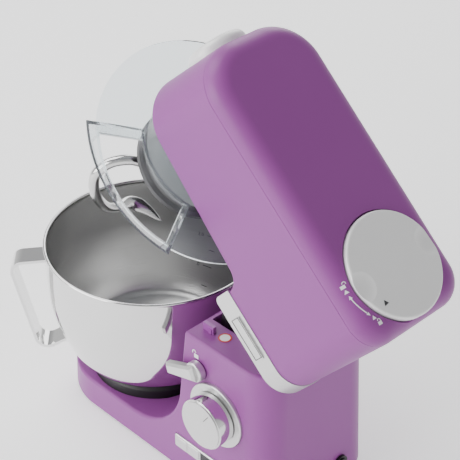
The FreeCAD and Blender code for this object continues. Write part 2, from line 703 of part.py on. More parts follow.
def make_planet_hub():
    """A drum with a lip; it carries the tool shaft at the orbit radius."""
    radius, lip, low, top = (size(a) for a in ("hub_radius", "hub_lip_radius", "hub_bottom", "hub_top"))
    drum = revolved([(0, low + 3), (lip - 2, low + 3), (lip - 2, low), (lip, low), (lip, low + 5), (radius, low + 8),
                     (radius, top), (0, top)])
    hollow = tube(radius - 4, 14, low + 10, top - 6)
    drum = drum.cut(hollow.cut(Part.makeCylinder(12, top, ORBIT)))
    return drum.cut(Part.makeCylinder(9, 80, Vector(ORBIT.x, ORBIT.y, low - 5)))


shaped("planet_hub", make_planet_hub(), "hub")
shaft_rod = cylinder("hub_shaft_rod", "8", "Sizes.belt_level + 5 - Sizes.hub_top", "0", "0", "Sizes.hub_top")
sub_part("hub_shaft", rounded("hub_shaft_rounded", shaft_rod, 0.5, is_rim), "hub")


def make_pulley(radius, level, x, bore):
    rim = revolved([(bore, level - 5.5), (radius + 2, level - 5.5), (radius + 2, level - 4.8), (radius, level - 4.8),
                    (radius, level + 4.8), (radius + 2, level + 4.8), (radius + 2, level + 5.5), (bore, level + 5.5)])
    return rim.translated(Vector(x, 0, 0))


def make_large_pulley():
    wheel = make_pulley(size("large_pulley_radius"), size("belt_level"), 0, 8)
    for turn in range(0, 360, 60):
        wheel = wheel.cut(Part.makeCylinder(9, 60, polar(26, turn, 270)))
    return wheel


shaped("large_pulley", make_large_pulley(), "hub")
shaped("tool_bushes", Part.makeCompound([tube(9, 5.05, 163, 173, ORBIT.x, ORBIT.y), tube(9, 5.05, 200, 210, ORBIT.x, ORBIT.y)]), "hub")
shaped("tool_shaft", Part.makeCylinder(size("shaft_radius"), 226 - 142, Vector(ORBIT.x, ORBIT.y, 142)), "tool")
shaped("planet_pinion", make_planet_pinion(), "tool")

HOOK_POINTS = [(31, 48, 143), (38, 62, 132), (37, 71, 117), (28, 71, 100), (17, 64, 85), (8, 53, 75), (5, 38, 69),
               (4, 22, 65), (-9, 10, 64), (-27, 3, 66)]


def make_dough_hook():
    """A round bar curled into an open spiral below its socket."""
    points = [Vector(ORBIT.x, ORBIT.y, 146), Vector(20, 33, 145)] + [Vector(*p) for p in HOOK_POINTS]
    curve = Part.BSplineCurve()
    curve.interpolate(points)
    path = Part.Wire([curve.toShape()])
    section = Part.Wire([Part.Circle(points[0], curve.tangent(0)[0], 5.2).toShape()])
    bar = path.makePipeShell([section], True, False)
    socket = tube(9, size("shaft_radius"), 138, 158, ORBIT.x, ORBIT.y)
    ball = Part.makeSphere(5.2, points[0])
    tip = Part.makeSphere(5.2, points[-1])
    return socket.fuse([bar, ball, tip]).removeSplitter().cut(Part.makeCylinder(size("shaft_radius"), 30, Vector(ORBIT.x, ORBIT.y, 142)))


shaped("dough_hook", make_dough_hook(), "tool")


def belt_face(grow):
    """The region inside a loop round both pulleys."""
    distance = size("motor_back")
    small, large = size("small_pulley_radius") + grow, size("large_pulley_radius") + grow
    turn = math.acos((small - large) / distance)
    normal = Vector(math.cos(turn), math.sin(turn), 0)
    other = Vector(normal.x, -normal.y, 0)
    back = Vector(-distance, 0, 0)
    points = [back + normal * small, normal * large, other * large, back + other * small]
    return face_of(points, {1: Vector(large, 0, 0), 3: back - Vector(small, 0, 0)})


def make_belt():
    low, height = size("belt_level") - 4.5, 9
    ring = belt_face(2.1).cut(belt_face(0.3))
    return ring.translated(Vector(0, 0, low)).extrude(Vector(0, 0, height))


shaped("drive_belt", make_belt(), HEAD)
MOTOR_LOW, MOTOR_HIGH = 205, 284
motor_x = -size("motor_back")


def make_stator():
    shell = tube(size("motor_radius"), 24.5, MOTOR_LOW + 4, MOTOR_HIGH - 4, motor_x)
    ends = [tube(size("motor_radius"), 4.05, level, level + 4, motor_x) for level in (MOTOR_LOW, MOTOR_HIGH - 4)]
    return shell.fuse(ends).removeSplitter()


shaped("motor_stator", make_stator(), HEAD)
shaped("motor_rotor", Part.makeCylinder(24, MOTOR_HIGH - MOTOR_LOW - 12, Vector(motor_x, 0, MOTOR_LOW + 6)).fuse(
    Part.makeCylinder(4, 302 - MOTOR_LOW, Vector(motor_x, 0, MOTOR_LOW))).removeSplitter(), "rotor")
shaped("small_pulley", make_pulley(size("small_pulley_radius"), size("belt_level"), motor_x, 4), "rotor")


def make_motor_mount():
    floor = size("head_bottom") + 4.5
    plate = slab(motor_x - 40, motor_x + 39, -42, 42, 201, 204)
    posts = [Part.makeCylinder(4.5, 202 - floor, Vector(motor_x + x, y, floor)) for x in (-33, 33) for y in (-37, 37)]
    cradle = tube(size("motor_radius"), size("motor_radius") - 4, 203, MOTOR_LOW, motor_x)
    return plate.fuse(posts + [cradle]).removeSplitter().cut(Part.makeCylinder(10, 30, Vector(motor_x, 0, 190)))


shaped("motor_mount", make_motor_mount(), HEAD)


# ------------------------------------------------------------------ splash guard and chute
def sector_wire(inner, outer, half_angle, level):
    a, b = 90 - half_angle, 90 + half_angle
    return Part.Wire([Part.Arc(polar(outer, a, level), polar(outer, 90, level), polar(outer, b, level)).toShape(),
                      Part.LineSegment(polar(outer, b, level), polar(inner, b, level)).toShape(),
                      Part.Arc(polar(inner, b, level), polar(inner, 90, level), polar(inner, a, level)).toShape(),
                      Part.LineSegment(polar(inner, a, level), polar(outer, a, level)).toShape()])


def sector_block(grow, bottom, top):
    """The flared chute form between two levels: it leans out over the bowl's rim."""
    level, rise = size("guard_level") + size("guard_gauge"), size("chute_rise")
    inner, outer, half = size("chute_inner"), size("chute_outer"), size("chute_half_angle")
    wires = []
    for z in (bottom, top):
        lean = (z - level) / rise
        wires.append(sector_wire(inner + 2 + 12 * lean - grow, outer - 10 + 20 * lean + grow,
                                 half + math.degrees(grow / 90) - 1.5 * lean, z))
    return ruled(*wires)


def make_splash_guard():
    low, gauge, radius = size("guard_level"), size("guard_gauge"), size("guard_radius")
    inner = size("hub_lip_radius") + 2.5
    disc = tube(radius, inner, low, low + gauge)
    neck = tube(inner + 2.5, inner, low, size("chin_low") + 3)
    opening = ruled(sector_wire(size("chute_inner") + 2, size("chute_outer") - 10, size("chute_half_angle"), low - 1),
                    sector_wire(size("chute_inner") + 2, size("chute_outer") - 10, size("chute_half_angle"), low + gauge + 1))
    return disc.fuse(neck).removeSplitter().cut(opening)


def make_chute():
    level, rise, wall = size("guard_level") + size("guard_gauge"), size("chute_rise"), size("chute_wall") - 0.6
    return sector_block(wall, level, level + rise).cut(sector_block(0, level - 1, level + rise + 1))


shaped("splash_guard", make_splash_guard(), HEAD)
shaped("pouring_chute", make_chute(), HEAD)

# ------------------------------------------------------------------ controls on the left side
# the escutcheon is let into the drafted side, and the lever stands just clear of it
SIDE = casing_half(size("knob_level")) - size("escutcheon_sunk")
LEVER_SIDE = casing_half(size("lever_level") - 21) + size("lever_gap")


def ring_y(outer, inner, y0, y1, back, level):
    solid = side_hole(outer, back, level, y0, y1)
    return solid.cut(side_hole(inner, back, level, y0 - 1, y1 + 1))


escutcheon = ring_y(size("escutcheon_radius"), 5.5, SIDE, SIDE + 4, size("knob_back"), size("knob_level"))
escutcheon = escutcheon.makeFillet(1.2, [e for e in escutcheon.Edges if e.BoundBox.YMin > SIDE + 3.9 and e.BoundBox.XLength > 40])
shaped("knob_escutcheon", escutcheon)


def make_knob():
    y0 = SIDE + 5
    drum = side_hole(size("knob_radius"), size("knob_back"), size("knob_level"), y0, y0 + size("knob_height"))
    drum = drum.makeFillet(1.2, [e for e in drum.Edges if e.BoundBox.YMin > y0 + 5])
    return drum.cut(side_hole(size("knob_radius") - 2, size("knob_back"), size("knob_level"), y0 - 1, y0 + 4))


shaped("speed_knob", make_knob(), "knob")
shaped("knob_shaft", side_hole(3, size("knob_back"), size("knob_level"), 56, SIDE + 9), "knob")
shaped("knob_face", side_hole(size("knob_radius") - 1.6, size("knob_back"), size("knob_level"),
                              SIDE + 5 + size("knob_height"), SIDE + 6.2 + size("knob_height")), "knob")
shaped("speed_switch", slab(-size("knob_back") - 12, -size("knob_back") + 12, 54, 66, size("knob_level") - 12,
                            size("knob_level") + 12).cut(side_hole(3.05, size("knob_back"), size("knob_level"))))


def make_lever():
    """A round boss with a flat finger paddle that points forward and a little down."""
    y0, reach = LEVER_SIDE, size("lever_reach")
    spot = Vector(-size("lever_back"), y0, size("lever_level"))
    boss = side_hole(10.5, size("lever_back"), size("lever_level"), y0, y0 + 7)
    boss = boss.makeFillet(1.5, [e for e in boss.Edges if e.BoundBox.YMin > y0 + 6])
    outline = [Vector(-4, 3.5, -8), Vector(reach, 3.5, -6), Vector(reach, 3.5, 6), Vector(-4, 3.5, 8)]
    bar = prism([spot + p for p in outline], Vector(0, 8, 0))
    bar = bar.makeChamfer(2.4, [e for e in bar.Edges if e.BoundBox.YMin > y0 + 11])
    bar = bar.rotated(spot, Vector(0, 1, 0), 20)
    return boss.fuse(bar).removeSplitter()


shaped("release_lever", make_lever(), "lever")
shaped("lever_shaft", side_hole(3, size("lever_back"), size("lever_level"), 44, LEVER_SIDE), "lever")


def make_latch_cam():
    spot = Vector(-size("lever_back"), 44, size("lever_level"))
    cam = Part.makeCylinder(7, 5, spot, Vector(0, 1, 0)).fuse(slab(spot.x - 14, spot.x, 44, 49, spot.z - 3, spot.z + 3))
    return cam.removeSplitter().cut(side_hole(3, size("lever_back"), size("lever_level"), 40))


shaped("latch_cam", make_latch_cam(), "lever")


def make_lever_bearing():
    spot_y = size("column_half_width") - size("casing_wall")
    tall = ring_y(8, 3.05, spot_y - 10, spot_y - 3.5, size("lever_back"), size("lever_level"))
    arm = slab(-size("lever_back") - 3, -size("lever_back") + 3, spot_y - 10, spot_y - 3.5, size("lever_level") + 7, size("lever_level") + 16)
    foot_plate = slab(-size("lever_back") - 8, -size("lever_back") + 8, spot_y - 10, spot_y - 0.3, size("lever_level") + 15, size("lever_level") + 18)
    return tall.fuse([arm, foot_plate]).removeSplitter()


shaped("lever_bearing", make_lever_bearing())

STRIP_REAR = -size("strip_front") - size("strip_length")
STRIP_LOW, STRIP_TOP = size("strip_bottom"), size("strip_bottom") + size("strip_height")
BUTTON_FRONTS = (3, 20, 79.5, 96.5)


def make_control_frame():
    frame = slab(STRIP_REAR, -size("strip_front"), 73.6, 76.6, STRIP_LOW, STRIP_TOP)
    frame = frame.makeFillet(2, [e for e in frame.Edges if e.BoundBox.YLength > 2.9])
    frame = frame.makeChamfer(0.5, [e for e in frame.Edges if e.BoundBox.YMin > 76.5])
    length = size("button_length")
    for front in BUTTON_FRONTS:
        x = -size("strip_front") - front
        frame = frame.cut(slab(x - length - 0.3, x + 0.3, 70, 80, STRIP_LOW + 1.9, STRIP_TOP - 1.9))
    return frame.cut(slab(-size("strip_front") - 77.3, -size("strip_front") - 36.7, 75, 80, STRIP_LOW + 2, STRIP_TOP - 2)).cut(
        slab(-size("strip_front") - 75, -size("strip_front") - 39, 70, 80, STRIP_LOW + 3.5, STRIP_TOP - 3.5))


shaped("control_frame", make_control_frame())
shaped("display_window", slab(-size("strip_front") - 77.1, -size("strip_front") - 36.9, 75, 76.3, STRIP_LOW + 2.2, STRIP_TOP - 2.2))
for number, front in enumerate(BUTTON_FRONTS, start=1):
    name = "button_%d" % number
    x = "-Sizes.strip_front - %g" % front
    cap = box(name + "_cap", "Sizes.button_length", "7.6", "Sizes.strip_height - 4.4", x + " - Sizes.button_length", "69.6",
              "Sizes.strip_bottom + 2.2")
    stem = box(name + "_stem", "6", "3", "5", x + " - Sizes.button_length / 2 - 3", "66.6", "Sizes.strip_bottom + 5")
    sub_part(name, rounded(name + "_soft", fused(name + "_whole", cap, stem), 0.8,
                           lambda e: e.BoundBox.YMin > 77.1), name)
shaped("control_board", slab(STRIP_REAR + 3, -size("strip_front") - 3, 62.4, 64, STRIP_LOW - 1, STRIP_TOP + 1))
board_base = box("power_board_plate", "90", "84", "1.6", "-205", "-42", "Sizes.ground_gap + Sizes.plate_thickness + 4")
board_parts = [cylinder("power_board_can_%d" % i, "8", "22", "-190 + %d" % (22 * i), "%d" % (18 - 14 * i),
                        "Sizes.ground_gap + Sizes.plate_thickness + 5") for i in range(3)]
board_feet = [box("power_board_post_%d%d" % (i, j), "5", "5", "4.5", "%d" % (-203 + 80 * i), "%d" % (-40 + 74 * j),
                  "Sizes.ground_gap + Sizes.plate_thickness") for i in (0, 1) for j in (0, 1)]
sub_part("power_board", fused("power_board_all", board_base, *board_parts, *board_feet))

REAR = -size("column_rear")
gland = Part.makeCylinder(6, 12, Vector(REAR - 9, -30, 22), Vector(1, 0, 0)).fuse([
    Part.makeCylinder(8.5, 2.6, Vector(REAR - 7.3, -30, 22), Vector(1, 0, 0)),
    Part.makeCylinder(8.5, 2.4, Vector(REAR + 1, -30, 22), Vector(1, 0, 0))])
shaped("cord_gland", gland.removeSplitter().cut(Part.makeCylinder(3.6, 40, Vector(REAR - 20, -30, 22), Vector(1, 0, 0))))
TOP = size("column_top")
shaped("interlock_tab", slab(-145, -131, 51, 55, TOP, TOP + 8).fuse(slab(-143, -139, 50, 56, TOP, TOP + 5)).removeSplitter())
shaped("lid_switch", slab(-150, -128, 44, 62, size("head_bottom") + 11, size("head_bottom") + 19), HEAD)

# ------------------------------------------------------------------ swing the head open, centre the footprint
SWINGING = (HEAD, "hub", "tool", "rotor", "dial")
doc.recompute()


def check_pieces():
    """Stop if any feature failed or any piece has no sound solid."""
    faults = [o.Name for o in doc.Objects if "Invalid" in o.State or "Error" in o.State]
    faults += [thing.Label for thing, group in sub_parts
               if thing.Shape.isNull() or not thing.Shape.isValid() or not thing.Shape.Solids]
    if faults:
        raise RuntimeError("these pieces failed: " + ", ".join(faults))


check_pieces()
for thing, group in sub_parts:
    if group in SWINGING:
        thing.Placement = SWING.multiply(thing.Placement)
doc.recompute()


def exact_box(shapes):
    """The tight box round all the shapes together."""
    whole = FreeCAD.BoundBox()
    for shape in shapes:
        whole.add(shape.optimalBoundingBox(False))
    return whole


whole = exact_box([thing.Shape for thing, group in sub_parts])
shift = Placement(Vector(-whole.Center.x, -whole.Center.y, 0), Rotation())
for thing, group in sub_parts:
    thing.Placement = shift.multiply(thing.Placement)
doc.recompute()

check_pieces()
os.makedirs("parts", exist_ok=True)
for thing, group in sub_parts:
    thing.Shape.exportStep("parts/%s.step" % thing.Label)
print("origin moved by", round(shift.Base.x, 4), round(shift.Base.y, 4), "height from", round(whole.ZMin, 4),
      "to", round(whole.ZMax, 3), "size", round(whole.XLength, 2), round(whole.YLength, 2))
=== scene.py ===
"""A tilt-head stand mixer with its head open: looks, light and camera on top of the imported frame."""
import json
import math

import bpy
import numpy as np
from mathutils import Matrix, Vector
from mathutils.bvhtree import BVHTree


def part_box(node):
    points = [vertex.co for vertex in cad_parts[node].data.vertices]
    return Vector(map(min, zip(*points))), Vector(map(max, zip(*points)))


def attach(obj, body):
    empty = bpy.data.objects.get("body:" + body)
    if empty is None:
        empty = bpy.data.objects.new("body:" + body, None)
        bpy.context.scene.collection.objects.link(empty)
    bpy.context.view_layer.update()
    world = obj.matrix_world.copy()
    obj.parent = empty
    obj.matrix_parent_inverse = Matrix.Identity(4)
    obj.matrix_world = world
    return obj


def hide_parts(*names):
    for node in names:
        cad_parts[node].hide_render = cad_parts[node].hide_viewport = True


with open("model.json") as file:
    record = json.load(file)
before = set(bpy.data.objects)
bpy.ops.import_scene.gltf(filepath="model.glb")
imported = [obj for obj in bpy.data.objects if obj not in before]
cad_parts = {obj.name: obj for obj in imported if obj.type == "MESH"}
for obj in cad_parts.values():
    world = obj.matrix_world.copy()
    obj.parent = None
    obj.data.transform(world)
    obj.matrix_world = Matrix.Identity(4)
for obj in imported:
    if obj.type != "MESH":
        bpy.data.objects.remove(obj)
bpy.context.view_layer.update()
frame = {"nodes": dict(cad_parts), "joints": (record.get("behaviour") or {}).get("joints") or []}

nodes = frame["nodes"]
joints = {joint["name"]: joint for joint in frame["joints"]}


# ------------------------------------------------------------------ camera, floor and light
# The machine is drawn about its bowl's axis, so places are given in millimetres from that axis and
# the table. The lens is a long one, looking down on the bowl's handle side from behind the column.
MM = 0.001
foot_low, foot_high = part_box("bowl_foot")
BOWL_AXIS = Vector(((foot_low.x + foot_high.x) / 2, (foot_low.y + foot_high.y) / 2, 0.0))


def at(x, y, z):
    """A place in metres from millimetres off the bowl's axis and the table."""
    return BOWL_AXIS + Vector((x, y, z)) * MM


eye = at(-981.3, 848.9, 1109.3)
back = Vector((-0.5855, 0.5714, 0.5750)).normalized()
right = Vector((0, 0, 1)).cross(back).normalized()
up = back.cross(right)
camera_data = bpy.data.cameras.new("camera")
camera_data.lens = 122.8
camera_data.sensor_width = 36
camera_data.clip_end = 20
camera = bpy.data.objects.new("camera", camera_data)
camera.matrix_world = Matrix((right, up, back)).transposed().to_4x4()
camera.matrix_world.translation = eye
bpy.context.scene.collection.objects.link(camera)
bpy.context.scene.camera = camera


def srgb(code):
    """A linear colour from an sRGB hex code."""
    parts = [int(code[i:i + 2], 16) / 255 for i in (1, 3, 5)]
    return [c / 12.92 if c <= 0.04045 else ((c + 0.055) / 1.055) ** 2.4 for c in parts] + [1.0]


def node(tree, kind, inputs=(), **settings):
    """Add a shader node; inputs maps a socket to a value or to another node's output."""
    made = tree.nodes.new(kind)
    for name, value in settings.items():
        setattr(made, name, value)
    for socket, value in dict(inputs).items():
        if isinstance(value, bpy.types.NodeSocket):
            tree.links.new(value, made.inputs[socket])
        else:
            made.inputs[socket].default_value = value
    return made


def new_material(name, inputs):
    """A material with one main shader set up from inputs; returns it, its tree and the shader."""
    material = bpy.data.materials.new(name)
    material.use_nodes = True
    tree = material.node_tree
    tree.nodes.clear()
    shader = node(tree, "ShaderNodeBsdfPrincipled", inputs)
    node(tree, "ShaderNodeOutputMaterial", {"Surface": shader.outputs[0]})
    return material, tree, shader


def grained(tree, shader, scale, strength, rough, distance=0.0002):
    """Fine relief and uneven roughness over a surface, at scale features to the metre."""
    place = node(tree, "ShaderNodeTexCoord")
    grain = node(tree, "ShaderNodeTexNoise", {"Vector": place.outputs["Object"], "Scale": scale, "Detail": 4})
    height = grain.outputs[0]
    level = node(tree, "ShaderNodeMapRange", {"Value": height, "To Min": rough[0], "To Max": rough[1]})
    bump = node(tree, "ShaderNodeBump", {"Height": height, "Strength": strength, "Distance": distance})
    tree.links.new(level.outputs[0], shader.inputs["Roughness"])
    tree.links.new(bump.outputs[0], shader.inputs["Normal"])


def toned(tree, shader, dark, light, scale):
    """Let the colour drift slowly between two close shades."""
    place = node(tree, "ShaderNodeTexCoord")
    spread = {"Vector": place.outputs["Object"], "Scale": scale, "Detail": 2}
    drift = node(tree, "ShaderNodeTexNoise", spread)
    mix = node(tree, "ShaderNodeMix", data_type="RGBA")
    mix.inputs[6].default_value = srgb(dark)
    mix.inputs[7].default_value = srgb(light)
    tree.links.new(drift.outputs[0], mix.inputs[0])
    tree.links.new(mix.outputs[2], shader.inputs["Base Color"])


def mesh_piece(name, points, faces, material, body, smooth=True):
    """A new mesh object that moves with a body; points are in metres in the row frame."""
    mesh = bpy.data.meshes.new(name)
    mesh.from_pydata([tuple(p) for p in np.asarray(points, float)], [], [tuple(f) for f in faces])
    mesh.polygons.foreach_set("use_smooth", [smooth] * len(mesh.polygons))
    mesh.materials.append(material)
    mesh.update()
    piece = bpy.data.objects.new(name, mesh)
    bpy.context.scene.collection.objects.link(piece)
    if body:
        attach(piece, body)
    return piece


floor_white, floor_tree, floor_shader = new_material("pale_floor", {
    "Base Color": srgb("#FDFDFD"), "Emission Color": srgb("#FFFFFF"), "Emission Strength": 0.6})
grained(floor_tree, floor_shader, 60, 0.02, rough=(0.85, 0.95))
FLOOR_HALF = 6
floor_corners = [(FLOOR_HALF * x, FLOOR_HALF * y, 0) for x, y in ((-1, -1), (1, -1), (1, 1), (-1, 1))]
floor = mesh_piece("floor", floor_corners, [(0, 1, 2, 3)], floor_white, None)

world = bpy.data.worlds.new("studio")
bpy.context.scene.world = world
world.use_nodes = True
sky = world.node_tree
sky.nodes.clear()
heading = node(sky, "ShaderNodeTexCoord")
split = node(sky, "ShaderNodeSeparateXYZ", {0: heading.outputs["Generated"]})
ramp = node(sky, "ShaderNodeValToRGB", {0: split.outputs["Z"]})
for stop, place, shade in zip(ramp.color_ramp.elements, (0.05, 0.8), ("#FFFFFF", "#A6A6A9")):
    stop.position = place
    stop.color = srgb(shade)
glow = node(sky, "ShaderNodeBackground", {"Color": ramp.outputs[0], "Strength": 0.95})
node(sky, "ShaderNodeOutputWorld", {"Surface": glow.outputs[0]})


def soft_light(name, place, aim, width, height, watts):
    """A rectangular soft box at a place, turned towards aim."""
    data = bpy.data.lights.new(name, "AREA")
    data.shape = "RECTANGLE"
    data.size = width
    data.size_y = height
    data.energy = watts
    lamp = bpy.data.objects.new(name, data)
    lamp.matrix_world = (aim - place).to_track_quat("-Z", "Y").to_matrix().to_4x4()
    lamp.matrix_world.translation = place
    bpy.context.scene.collection.objects.link(lamp)


middle = at(-60, 0, 200)
soft_light("side_soft_box", at(500, 1700, 900), middle, 1.5, 1.2, 34)
soft_light("far_soft_box", at(900, -1300, 1100), middle, 1.0, 1.4, 14)
soft_light("top_soft_box", at(900, 300, 1500), middle, 0.9, 1.2, 16)


# ------------------------------------------------------------------ base and column
# One aluminium casting, sprayed a satin violet with the faint orange peel of such paint.
def finish(material, *names):
    """Give CAD pieces a material."""
    for name in names:
        for slot in nodes[name].material_slots:
            slot.material = material


paint, paint_tree, paint_shader = new_material(
    "violet_paint", {"Specular IOR Level": 0.35, "IOR": 1.45})
grained(paint_tree, paint_shader, 900, 0.06, rough=(0.36, 0.44))
toned(paint_tree, paint_shader, "#8D448F", "#914A93", 9)
finish(paint, "base_casing")


# ------------------------------------------------------------------ underside
# A black pressed plate under the casting, its screws, five rubber feet and the cable gland.
rubber, rubber_tree, rubber_shader = new_material("black_rubber", {"Specular IOR Level": 0.3})
grained(rubber_tree, rubber_shader, 1500, 0.15, rough=(0.65, 0.8))
toned(rubber_tree, rubber_shader, "#161617", "#1C1C1D", 40)
black_plastic, plastic_tree, plastic_shader = new_material("black_plastic", {"IOR": 1.5})
grained(plastic_tree, plastic_shader, 2200, 0.12, rough=(0.42, 0.55))
toned(plastic_tree, plastic_shader, "#121213", "#191919", 30)
zinc, zinc_tree, zinc_shader = new_material("zinc_steel", {"Metallic": 1})
grained(zinc_tree, zinc_shader, 700, 0.08, rough=(0.28, 0.42))
toned(zinc_tree, zinc_shader, "#A9A9AB", "#BCBCBD", 60)
finish(rubber, "rubber_feet", "drive_belt")
finish(black_plastic, "bottom_plate", "cord_gland", "bowl_seat", "speed_switch", "lid_switch", "head_floor",
       "lever_bearing", "latch_cam", "top_outlet_socket", "front_outlet_socket", "drive_collar")
finish(zinc, "base_screws", "hinge_bracket", "hinge_pin", "hinge_arms", "lock_sectors", "hub_shaft",
       "tool_shaft", "shaft_bearings", "motor_rotor", "motor_stator", "knob_shaft", "lever_shaft",
       "gearbox_housing", "motor_mount", "small_pulley")


# ------------------------------------------------------------------ mixing bowl
# Spun steel, mirror polished outside and finely brushed round its inside, with a rolled rim.
BOWL_WALL = 1.2
BOWL_RADIUS = 110.0
ROLL_LEVEL = 187.4
BOWL_PROFILE = [(0, 50), (40, 50), (65, 50.3), (79, 58), (91, 72), (99.5, 91), (105.5, 110),
                (109, 130), (BOWL_RADIUS, 150), (BOWL_RADIUS, ROLL_LEVEL)]
PROFILE_STEPS = 70
RIM_ROLL = 1.6
AXIS_RADIUS = 0.01


def smooth_profile(points, count):
    """Even steps along a cubic curve that passes through every point."""
    points = np.asarray(points, float)
    along = np.concatenate([[0], np.cumsum(np.linalg.norm(np.diff(points, axis=0), axis=1))])
    slopes = np.gradient(points, along, axis=0)
    t = np.linspace(0, along[-1], count)
    i = np.clip(np.searchsorted(along, t, side="right") - 1, 0, len(along) - 2)
    span = (along[i + 1] - along[i])[:, None]
    u = (t - along[i])[:, None] / span
    start, end = points[i], points[i + 1]
    return ((2 * u**3 - 3 * u**2 + 1) * start + (u**3 - 2 * u**2 + u) * span * slopes[i]
            + (3 * u**2 - 2 * u**3) * end + (u**3 - u**2) * span * slopes[i + 1])


def ring_quads(rows, around):
    """The quads between neighbouring rings of a grid whose rings are closed."""
    row, col = np.meshgrid(np.arange(rows - 1), np.arange(around), indexing="ij")
    nxt = (col + 1) % around
    near, far = row * around, (row + 1) * around
    return np.stack([near + col, near + nxt, far + nxt, far + col], axis=-1).reshape(-1, 4)


def lathe(name, profile, material, body, around=256):
    """Turn an open line of (radius, height) in millimetres about the bowl's axis."""
    profile = np.asarray(profile, float)
    turn = np.linspace(0, 2 * math.pi, around, endpoint=False)
    r, z = profile[:, 0][:, None], profile[:, 1][:, None]
    grid = np.stack([r * np.cos(turn), r * np.sin(turn), z + 0 * turn], axis=-1).reshape(-1, 3) * MM
    grid += np.array(BOWL_AXIS)
    faces = ring_quads(len(profile), around)
    piece = mesh_piece(name, grid, faces, material, None)
    layer = piece.data.uv_layers.new(name="wrap")
    loops = np.zeros(len(piece.data.loops), int)
    piece.data.loops.foreach_get("vertex_index", loops)
    travelled = np.concatenate([[0], np.cumsum(np.hypot(*np.diff(profile, axis=0).T))]) / 100
    across = (loops % around) / around
    across[(across < 0.01) & (np.tile([0, 1, 1, 0], len(faces)) == 1)] = 1.0
    layer.data.foreach_set("uv", np.stack([across, travelled[loops // around]], axis=-1).ravel())
    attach(piece, body)
    return piece


outer = smooth_profile(BOWL_PROFILE, PROFILE_STEPS)
outer[0, 0] = AXIS_RADIUS
roll_turn = np.linspace(-0.3 * math.pi, 1.2 * math.pi, 18)
roll = np.stack([BOWL_RADIUS + RIM_ROLL * np.cos(roll_turn),
                 ROLL_LEVEL + RIM_ROLL * np.sin(roll_turn)], axis=-1)
inner = smooth_profile(BOWL_PROFILE, PROFILE_STEPS)[::-1] - [BOWL_WALL, 0]
BOTTOM_TURN = 60
inner[:, 1] += np.where(inner[:, 1] < BOTTOM_TURN, BOWL_WALL, 0)
inner[-1, 0] = AXIS_RADIUS
inner_start = (BOWL_RADIUS - 0.4 - RIM_ROLL * 0.6, ROLL_LEVEL - 0.8)

mirror, mirror_tree, mirror_shader = new_material("mirror_steel", {"Metallic": 1})
grained(mirror_tree, mirror_shader, 60, 0.015, rough=(0.04, 0.08), distance=0.0005)
toned(mirror_tree, mirror_shader, "#DCDCDC", "#E2E2E1", 12)
brushed, brushed_tree, brushed_shader = new_material(
    "brushed_steel", {"Metallic": 1, "Anisotropic": 0.8})
wrap = node(brushed_tree, "ShaderNodeUVMap", uv_map="wrap")
lines = node(brushed_tree, "ShaderNodeMapping", {"Vector": wrap.outputs[0], "Scale": (7, 420, 1)})
strokes = node(brushed_tree, "ShaderNodeTexNoise", {"Vector": lines.outputs[0], "Scale": 1, "Detail": 5})
stroke_rough = node(brushed_tree, "ShaderNodeMapRange",
                    {"Value": strokes.outputs[0], "To Min": 0.2, "To Max": 0.42})
stroke_bump = node(brushed_tree, "ShaderNodeBump",
                   {"Height": strokes.outputs[0], "Strength": 0.25, "Distance": 0.0001})
wrap_way = node(brushed_tree, "ShaderNodeTangent", direction_type="UV_MAP", uv_map="wrap")
brushed_tree.links.new(stroke_rough.outputs[0], brushed_shader.inputs["Roughness"])
brushed_tree.links.new(stroke_bump.outputs[0], brushed_shader.inputs["Normal"])
brushed_tree.links.new(wrap_way.outputs[0], brushed_shader.inputs["Tangent"])
toned(brushed_tree, brushed_shader, "#B4B4B4", "#C2C2C1", 10)

bowl_outside = lathe("bowl_outside", np.vstack([outer, roll]), mirror, "bowl")
bowl_inside = lathe("bowl_inside", np.vstack([[inner_start], inner]), brushed, "bowl")
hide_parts("mixing_bowl")
finish(mirror, "bowl_handle", "bowl_foot")


# ------------------------------------------------------------------ bowl volume marks
# Half-litre lines etched inside the bowl; the whole-litre lines are longer and have their figure beside them.
etched, etched_tree, etched_shader = new_material("etched_mark", {"Metallic": 0.3})
grained(etched_tree, etched_shader, 900, 0.05, rough=(0.45, 0.6))
toned(etched_tree, etched_shader, "#3A3A3C", "#444446", 50)
MARK_TURN = -80.0
mark_levels = {"0.5": 72, "1.0": 92, "1.5": 110, "2.0": 126, "2.5": 141, "3.0": 155, "3.5": 168}


def inside_radius(level):
    """The bowl's inner radius at a height, in millimetres."""
    wall = inner[::-1]
    return float(np.interp(level, wall[:, 1], wall[:, 0]))


for label, level in mark_levels.items():
    length = 11 if label.endswith("0") else 7
    lift, sides, half_line = 0.35, 14, 0.35
    arcs = np.radians(MARK_TURN + np.linspace(0, math.degrees(length / inside_radius(level)), sides + 1))
    rows = [(inside_radius(level + dz) - lift, level + dz) for dz in (-half_line, half_line)]
    points = [at(r * math.cos(a), r * math.sin(a), z) for r, z in rows for a in arcs]
    faces = [(i + 1, i, sides + 1 + i, sides + 2 + i) for i in range(sides)]
    mark = mesh_piece("volume_mark_" + label.replace(".", "_"), points, faces, etched, "bowl")
    if not label.endswith("0"):
        continue
    figure = bpy.data.curves.new("figure_" + label.replace(".", "_"), "FONT")
    figure.body, figure.size, figure.extrude = label, 0.0058, 0.00004
    figure.materials.append(etched)
    turn = arcs[-1] + 2.0 / inside_radius(level)
    out = Vector((math.cos(turn), math.sin(turn), 0))
    along = Vector((0, 0, 1)).cross(out)
    slope = (inside_radius(level + 2) - inside_radius(level - 2)) / 4
    rise = (Vector((0, 0, 1)) + slope * out).normalized()
    written = bpy.data.objects.new(figure.name, figure)
    written.matrix_world = Matrix((-along, rise, -along.cross(rise))).transposed().to_4x4()
    start = turn + 9.5 / inside_radius(level)
    reach = inside_radius(level) - 0.5
    written.matrix_world.translation = at(reach * math.cos(start), reach * math.sin(start), level - 2)
    bpy.context.scene.collection.objects.link(written)
    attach(written, "bowl")


